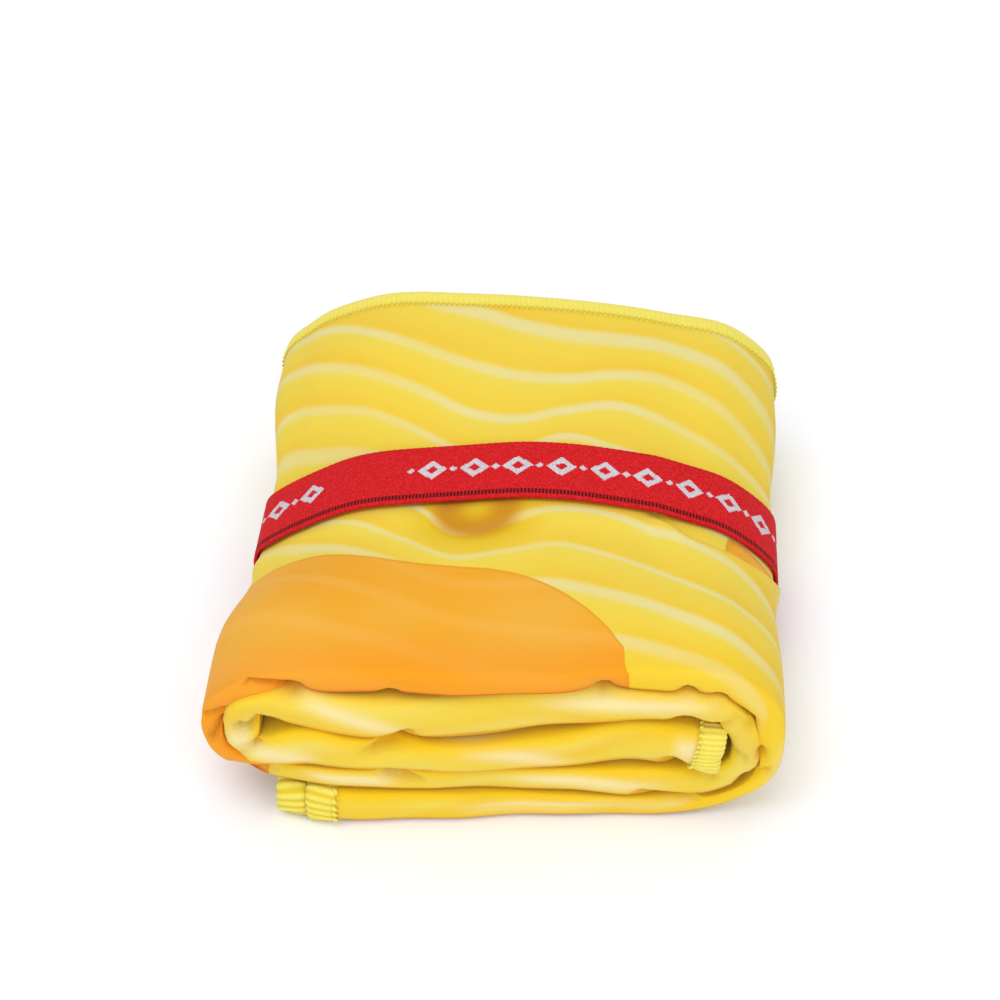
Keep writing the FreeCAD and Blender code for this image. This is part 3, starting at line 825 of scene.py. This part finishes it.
def make_towel():
    """The folded and rolled sheet, its points, and those that the band lies on."""
    points, along, rows = folded_sheet()
    flat_y = sheet_y(points, rows)
    plies = [np.nonzero(rows[:, 0] < 0.5)[0], np.nonzero(rows[:, 0] >= 0.5)[0]]
    fold_shade_mask = painted_fold_shade(along, rows)
    points, pushed = press_dents(hand_made_folds(points, along, rows))
    points[..., 2] = rest_on(points[..., 2], floor_level(points), 0.3)
    towel = make_object("towel_cloth", points, grid_faces(*points.shape[:2]))
    across = across_top(along)
    phase, breadth = ripple_fields(across, flat_y, plies)
    fields = {
        "ripple_phase": phase,
        "crest_strength": crest_strength(along, flat_y),
        "crest_breadth": breadth,
        "orange_distance": orange_field(across, flat_y),
        "spot_distance": np.hypot(across - SPOT[0], flat_y - SPOT[1]),
        # painted shade: the next two fields deepen and darken the colour where the lips touch, low on the
        # right, and in creases and dents
        "fold_depth": np.maximum(fold_shade_mask, low_right_shade(points)),
        "crease_shade_mask": crease_shade(along, rows, pushed),
        "pale_patch": pale_patches(points),
    }
    for field, values in fields.items():
        add_attribute(towel, field, values)
    thick = towel.modifiers.new("cloth_thickness", "SOLIDIFY")
    thick.thickness = CLOTH * MM
    thick.offset = -1.0
    thick.use_rim = True
    finish_piece(towel, microfibre_material(), "towel", "rolled_towel")
    return towel, points, points[plies[0]][:, along[0] < SECOND_LAYER].reshape(-1, 3)


# ---- the edgings
END_STITCH = 2.5            # one overlock loop on the outer short end
LONG_STITCH = 1.7           # and on the other edges
OUTER_END_HEM = {"width": 7.6, "rib_height": 0.55, "stitch": END_STITCH}
INNER_END_HEM = {"width": 7.2, "rib_height": 0.3, "stitch": LONG_STITCH}
LONG_HEM = {"width": 6.2, "rib_height": 0.10, "stitch": LONG_STITCH}
# how far in from the cut edge, as a share of the width, and how high over the outer face
EDGING_PROFILE = [(1.0, 0.05), (0.94, 0.42), (0.65, 0.58), (0.3, 0.58), (0.06, 0.42), (-0.07, 0.05),
                  (-0.09, -0.4), (-0.04, -0.85), (0.15, -1.1), (0.65, -1.1), (0.96, -0.75)]
SAMPLES_A_STITCH = 8
NEEDLE_SIDES = 5
LONG_ROWS = 4               # rows of the cloth under a long edge's overlock
END_COLUMNS = 6             # columns of it under an end's overlock


def at_rows(values, places):
    """Values of a line of points or normals at fractional point numbers."""
    return np.stack([np.interp(places, np.arange(len(values)), values[:, k]) for k in range(3)], axis=-1)


class CutEdge:
    """The cloth beside a cut edge: lines[0] is the edge, the others lie further in."""

    def __init__(self, lines, line_normals, stitch):
        travelled = line_distances(lines[0])
        stitches = int(travelled[-1] / stitch)
        shares = np.linspace(0.0, 1.0, stitches * SAMPLES_A_STITCH + 1)
        places = np.interp(shares * travelled[-1], travelled, np.arange(len(travelled)))
        self.lines = np.array([at_rows(line, places) for line in lines])
        self.normals = unit(np.array([at_rows(normal, places) for normal in line_normals]))
        gaps = np.linalg.norm(np.diff(self.lines, axis=0), axis=-1).mean(axis=1)
        self.inward = np.concatenate([[0.0], np.cumsum(gaps)])
        self.turn = TURN * shares * stitches

    def surface(self, depth, height):
        """A line at a depth in from the edge, negative past it, and a height over the cloth."""
        level = np.interp(abs(depth), self.inward, np.arange(len(self.inward)))
        low = min(int(level), len(self.inward) - 2)
        part = level - low
        base = self.lines[low] * (1 - part) + self.lines[low + 1] * part
        if depth < 0:
            base = 2 * self.lines[0] - base
        normal = unit(self.normals[low] * (1 - part) + self.normals[low + 1] * part)
        return base + normal * np.broadcast_to(height, self.turn.shape)[:, None]


def overlock_wrap(edge, width, rib_height):
    """The thread round the edge, as rings across it, and how high the rib rises at each point."""
    contrast = min(1.0, rib_height / 0.7)
    past_edge = unit(edge.lines[0] - edge.lines[1])
    rings, rise = [], []
    for share, height in EDGING_PROFILE:
        depth = share * width
        rib = 0.5 + 0.5 * np.sin(edge.turn + 0.35 * depth)
        rise.append(0.62 + contrast * (rib - 0.62))
        swell = rib_height * rib if height > 0.3 else -rib_height * rib if height < -0.7 else 0.0
        ring = edge.surface(depth, height + swell)
        if depth < 0.5:
            ring = ring + past_edge * (0.7 * rib_height * rib)[:, None]
        rings.append(ring)
    return np.stack(rings, axis=1), np.stack(rise, axis=1)


def needle_thread(edge, width, loop_size):
    """The needle's row: one raised stitch after the other along the inner border."""
    centre = edge.surface(width - 0.3, 0.62 + 0.28 * np.cos(edge.turn))
    sideways = unit(edge.surface(width - 1.3, 0.45) - edge.surface(width - 0.3, 0.45))
    upward = unit(edge.surface(width, 1.4) - edge.surface(width, 0.4))
    centre = centre + sideways * (0.4 * loop_size * np.sin(edge.turn))[:, None]
    radius = (loop_size * (0.42 + 0.18 * np.cos(edge.turn)))[:, None]
    angles = np.linspace(0.0, TURN, NEEDLE_SIDES, endpoint=False)
    spokes = [sideways * math.cos(angle) * 1.25 + upward * math.sin(angle) for angle in angles]
    return np.stack([centre + spoke * radius for spoke in spokes], axis=1)


def edge_band(name, node, lines, line_normals, width, rib_height, stitch):
    """Overlock thread round a cut edge: the wrap and the needle's row in one piece."""
    edge = CutEdge(lines, line_normals, stitch)
    wrap, wrap_rise = overlock_wrap(edge, width, rib_height)
    needle = needle_thread(edge, width, stitch / END_STITCH)
    vertices = np.concatenate([wrap.reshape(-1, 3), needle.reshape(-1, 3)])
    vertices[:, 2] = rest_on(vertices[:, 2], RESTING, 0.1)
    faces = tube_faces(wrap) + tube_faces(needle, first=wrap_rise.size)
    obj = make_object(name, vertices, faces)
    needle_rise = np.repeat(0.5 + 0.5 * np.cos(edge.turn), NEEDLE_SIDES)
    add_attribute(obj, "stitch_rise", np.concatenate([wrap_rise.ravel(), needle_rise]))
    finish_piece(obj, overlock_thread, "towel", node)
    return obj


def make_edgings(points):
    """The overlock of the sheet's two long edges and two short ends."""
    grids = (points, grid_normals(points))
    first_edge = [grid[:LONG_ROWS] for grid in grids]
    second_edge = [grid[:-LONG_ROWS - 1:-1] for grid in grids]
    outer_end = [grid[:, :END_COLUMNS].swapaxes(0, 1) for grid in grids]
    inner_end = [grid[:, :-END_COLUMNS - 1:-1].swapaxes(0, 1) for grid in grids]
    return [
        edge_band("first_long_hem", "first_long_edging", *first_edge, **LONG_HEM),
        edge_band("second_long_hem", "second_long_edging", *second_edge, **LONG_HEM),
        edge_band("outer_end_hem", "outer_end_edging", *outer_end, **OUTER_END_HEM),
        edge_band("inner_end_hem", "inner_end_edging", *inner_end, **INNER_END_HEM),
    ]


# ---- the band
BAND_THICKNESS = 1.2
BAND_GAP = 0.35             # between the cloth and the band
BAND_STEP = 0.7             # from one ring of the band's points to the next
LAP = 14.0                  # where the sewn ends of the band lie on each other
LAP_START = np.array([-66.0, 6.0])  # X and Z


def loop_points(loop, places):
    """Points of a closed line at distances along it."""
    travelled = line_distances(loop)
    wrapped = np.mod(places, travelled[-1])
    return np.stack([np.interp(wrapped, travelled, loop[:, k]) for k in (0, 1)], axis=-1)


def tight_loop(cloth_points):
    """The shortest closed line round the cloth under the band, in X and Z, from the lap on."""
    near = np.abs(cloth_points[..., 1] - BAND_Y) < BAND_WIDTH / 2 + 2.0
    section = [Vector(p) for p in cloth_points[near][:, [0, 2]]]
    hull = np.array([section[i][:] for i in mathutils.geometry.convex_hull_2d(section)])
    hull = np.vstack([hull, hull[:1]])
    loop = loop_points(hull, np.linspace(0.0, line_distances(hull)[-1], 401)[:-1])
    for _ in range(12):
        loop = (np.roll(loop, 1, axis=0) + 2 * loop + np.roll(loop, -1, axis=0)) / 4
    first, second = loop[0] - CORE, loop[1] - CORE
    if first[0] * second[1] - first[1] * second[0] > 0:
        loop = loop[::-1]
    start = np.argmin(np.linalg.norm(loop - LAP_START, axis=1))
    loop = np.roll(loop, -start, axis=0)
    return np.vstack([loop, loop[:1]])


def band_course(loop):
    """Distances along the band, its inner line, outward direction and lift, lap included."""
    around_length = line_distances(loop)[-1]
    places = np.linspace(0.0, around_length + LAP, int((around_length + LAP) / BAND_STEP))
    wrapped = np.mod(places, around_length)
    direction = unit(loop_points(loop, wrapped + 1.0) - loop_points(loop, wrapped - 1.0))
    outward = np.stack([-direction[:, 1], direction[:, 0]], axis=-1)
    lapped = smooth(around_length - 5.0, around_length - 1.0, places)
    return places, loop_points(loop, wrapped), outward, BAND_GAP + (BAND_THICKNESS + 0.05) * lapped


def band_profile():
    """The band's cross-section: place across it and height, round its face and its inner side."""
    half = BAND_WIDTH / 2
    face = np.linspace(-half + 0.35, half - 0.35, 26)
    profile = [(v, BAND_THICKNESS) for v in face] + [(half, BAND_THICKNESS * 0.5)]
    return profile + [(v, 0.0) for v in face[::-3]] + [(-half, BAND_THICKNESS * 0.5)]


def make_band(places, centre, outward, lift):
    """The woven band, with slightly uneven edges and the rungs of its dark line raised."""
    profile = band_profile()
    rungs = 0.06 * np.cos(places * TURN / LADDER_PITCH)
    rings = []
    for v, height in profile:
        wander = 0.18 * np.sin(places / 9.0)
        if abs(v) > BAND_WIDTH / 2 - 1.0:
            wander = wander + 0.08 * np.sin(places * TURN / 2.1)
        raised = height + rungs if height > 1.0 and -11.0 < v < -9.0 else height
        radial = outward * (lift + raised)[:, None]
        y = BAND_Y + v + wander
        rings.append(np.stack([centre[:, 0] + radial[:, 0], y, centre[:, 1] + radial[:, 1]], axis=-1))
    points = np.stack(rings, axis=1)
    points[..., 2] = rest_on(points[..., 2], RESTING, 0.1)
    band = make_object("holding_band", points, tube_faces(points))
    grid = points.shape[:2]
    add_attribute(band, "band_along", np.broadcast_to(places[:, None], grid))
    add_attribute(band, "band_across", np.broadcast_to([v for v, _ in profile], grid))
    add_attribute(band, "band_motif", np.broadcast_to(motif_mask(places, centre)[:, None], grid))
    finish_piece(band, woven_band_material(), "band", "elastic_band")


def motif_mask(places, centre):
    """The white diamonds stop, after a whole one, where the weave is left plain."""
    cell = np.floor((places + MOTIF_CUT) / MOTIF_REPEAT)
    middle = (cell + 0.5) * MOTIF_REPEAT - MOTIF_CUT
    x, z = (np.interp(middle, places, centre[:, k]) for k in (0, 1))
    right_run = (z > 26.0) & (x > -27.0) | (x > 60.0)
    left_pair = (z > 26.0) & (x < -54.0)
    return (right_run | left_pair).astype(float)


SEAM_ROWS = (2.0, 5.0, 8.0, 11.0)  # from the start of the lap
SEAM_STITCH = 2.6
SEAM_STITCHES = 8
SEAM_START = 9.2            # the first stitch, in front of the band's middle
STITCH_RINGS = 7
STITCH_SIDES = 6


def seam_stitch(middle, out, sideways):
    """Rings of one stitch, which lies along Y and dips into the band at both ends."""
    rings = []
    for step in np.linspace(-1.0, 1.0, STITCH_RINGS):
        radius = 0.05 + 0.26 * math.sqrt(max(0.0, 1.0 - step * step))
        centre = middle + np.array([0.0, step * SEAM_STITCH * 0.44, 0.0]) + out * (0.22 - 0.25 * step * step)
        angles = np.linspace(0.0, TURN, STITCH_SIDES, endpoint=False)
        rings.append([centre + (sideways * math.cos(a) + out * math.sin(a)) * radius for a in angles])
    return np.array(rings)


def make_band_seam(places, centre, outward, lift):
    """Four rows of short stitches that hold the band's lapped ends together."""
    stitches, faces = [], []
    around_length = places[-1] - LAP
    for row in SEAM_ROWS:
        index = int(np.argmin(np.abs(places - around_length - row)))
        out = np.array([outward[index][0], 0.0, outward[index][1]])
        base = np.array([centre[index][0], 0.0, centre[index][1]]) + out * (lift[index] + BAND_THICKNESS)
        sideways = np.array([out[2], 0.0, -out[0]])
        for number in range(SEAM_STITCHES):
            middle = base + np.array([0.0, BAND_Y - SEAM_START + SEAM_STITCH * number, 0.0])
            stitch = seam_stitch(middle, out, sideways)
            faces += tube_faces(stitch, first=len(stitches) * STITCH_RINGS * STITCH_SIDES)
            stitches.append(stitch)
    seam = make_object("band_seam_thread", np.array(stitches), faces)
    red_thread = thread_material("seam_thread", RED, BRIGHT_RED, RED)
    finish_piece(seam, red_thread, "band", "band_seam_stitching")


# ---- stage and camera
def make_stage():
    size = 3000.0
    floor = make_object("floor", [(-size, -size, 0), (size, -size, 0), (size, size, 0), (-size, size, 0)],
                        [(0, 1, 2, 3)], False)
    n = Nodes("floor_paper")
    shade = n.noise(3.0, 2.0)
    color = n.mix(shade, (0.89, 0.90, 0.94, 1.0), (0.91, 0.92, 0.96, 1.0))
    n.finish(color, n.bump(shade, 0.01, 0.0001), 0.9, 0.0)
    floor.data.materials.append(n.material)


def area_light(name, place, target, size, power):
    data = bpy.data.lights.new(name, "AREA")
    data.shape = "DISK"
    data.size = size
    data.energy = power
    obj = bpy.data.objects.new(name, data)
    obj.location = place
    obj.rotation_euler = (Vector(target) - Vector(place)).to_track_quat("-Z", "Y").to_euler()
    bpy.context.scene.collection.objects.link(obj)


def make_lights():
    world = bpy.data.worlds.new("studio")
    world.use_nodes = True
    background = world.node_tree.nodes["Background"]
    background.inputs["Color"].default_value = (1.0, 1.0, 1.0, 1.0)
    background.inputs["Strength"].default_value = 0.67
    bpy.context.scene.world = world
    aim = (0.0, 0.0, 0.03)
    area_light("key", (-0.3, -0.25, 1.15), aim, 1.0, 5.9)
    area_light("fill", (0.8, -0.7, 0.8), aim, 1.0, 2.8)
    area_light("back", (0.1, 1.0, 0.9), aim, 0.9, 2.8)
    area_light("front", (-0.1, -1.1, 0.35), aim, 0.8, 3.2)


CAMERA_AZIMUTH = math.radians(-4.0)
CAMERA_PITCH = math.radians(42.5)
CAMERA_DISTANCE = 660.0
CAMERA_TARGET = Vector((-4.6, 16.7, 30.0))
CAMERA_LENS = 75.6


def make_camera():
    data = bpy.data.cameras.new("camera")
    data.lens = CAMERA_LENS
    data.sensor_width = 36.0
    data.clip_start = 0.05
    data.clip_end = 20.0
    camera = bpy.data.objects.new("camera", data)
    heading = Vector((math.sin(CAMERA_AZIMUTH) * math.cos(CAMERA_PITCH),
                      math.cos(CAMERA_AZIMUTH) * math.cos(CAMERA_PITCH), -math.sin(CAMERA_PITCH)))
    camera.location = (CAMERA_TARGET - heading * CAMERA_DISTANCE) * MM
    camera.rotation_mode = "QUATERNION"
    camera.rotation_quaternion = heading.to_track_quat("-Z", "Y")
    bpy.context.scene.collection.objects.link(camera)
    bpy.context.scene.camera = camera


# ---- build
towel, towel_points, outer_wrap = make_towel()
overlock_thread = thread_material("overlock_thread", THREAD_LEMON, THREAD_YELLOW, THREAD_SHADE)
edgings = make_edgings(towel_points)

# the band goes round the cloth and round the outer end's overlock
outer_end_hem = edgings[2]
course = band_course(tight_loop(np.concatenate([outer_wrap, mesh_points(outer_end_hem)])))
make_band(*course)
make_band_seam(*course)

make_stage()
make_lights()
make_camera()
bpy.context.scene.view_settings.view_transform = "Standard"
